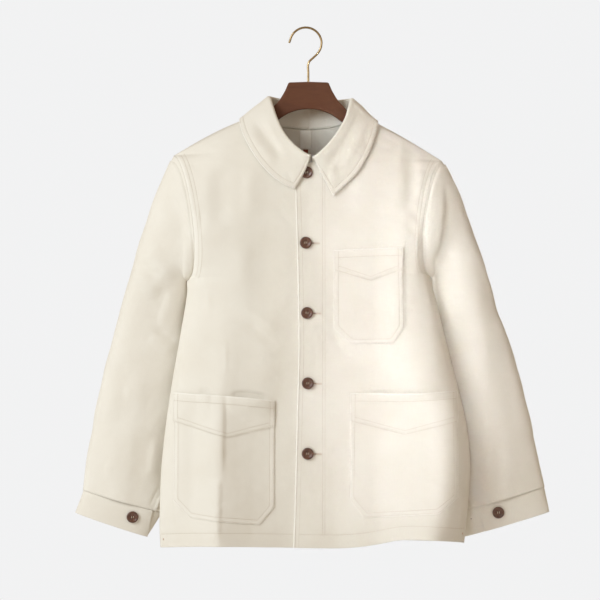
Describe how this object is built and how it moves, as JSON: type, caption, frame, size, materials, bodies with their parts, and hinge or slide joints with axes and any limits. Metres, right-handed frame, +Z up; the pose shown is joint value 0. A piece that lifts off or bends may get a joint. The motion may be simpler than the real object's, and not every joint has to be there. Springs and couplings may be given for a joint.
{
  "type": "chore jacket on hanger",
  "caption": "Heavy cotton chore jacket with a flat pointed collar, patch pockets and a buttoned front, hanging on a flat wooden hanger with a wire hook.",
  "frame": {"origin": "the inner top of the hanger's hook, where it hangs on a rail", "axes": "+X to the wearer's left, +Y to the back, +Z up"},
  "size_m": [0.7824, 0.1449, 0.8544],
  "materials": {
    "cloth": "brushed cream cotton moleskin",
    "label": "woven",
    "tab": "woven",
    "button": "dark brown with a soft shine",
    "wood": "dark satin varnish",
    "brass": "polished"
  },
  "bodies": {
    "root": {"front_left": "cloth", "front_right": "cloth", "back": "cloth", "sleeve_left": "cloth", "sleeve_right": "cloth", "cuff_left": "cloth", "cuff_right": "cloth", "collar": "cloth", "hip_right_pocket_lower": "cloth", "hip_right_pocket_upper": "cloth", "hip_left_pocket_lower": "cloth", "hip_left_pocket_upper": "cloth", "chest_pocket_lower": "cloth", "chest_pocket_upper": "cloth", "front_button_1": "button", "front_button_2": "button", "front_button_3": "button", "front_button_4": "button", "front_button_5": "button", "cuff_button_left": "button", "cuff_button_right": "button", "neck_label": "label", "care_label": "label", "size_tab": "tab", "hanger_board": "wood", "hanger_hook": "brass"}
  },
  "joints": []
}
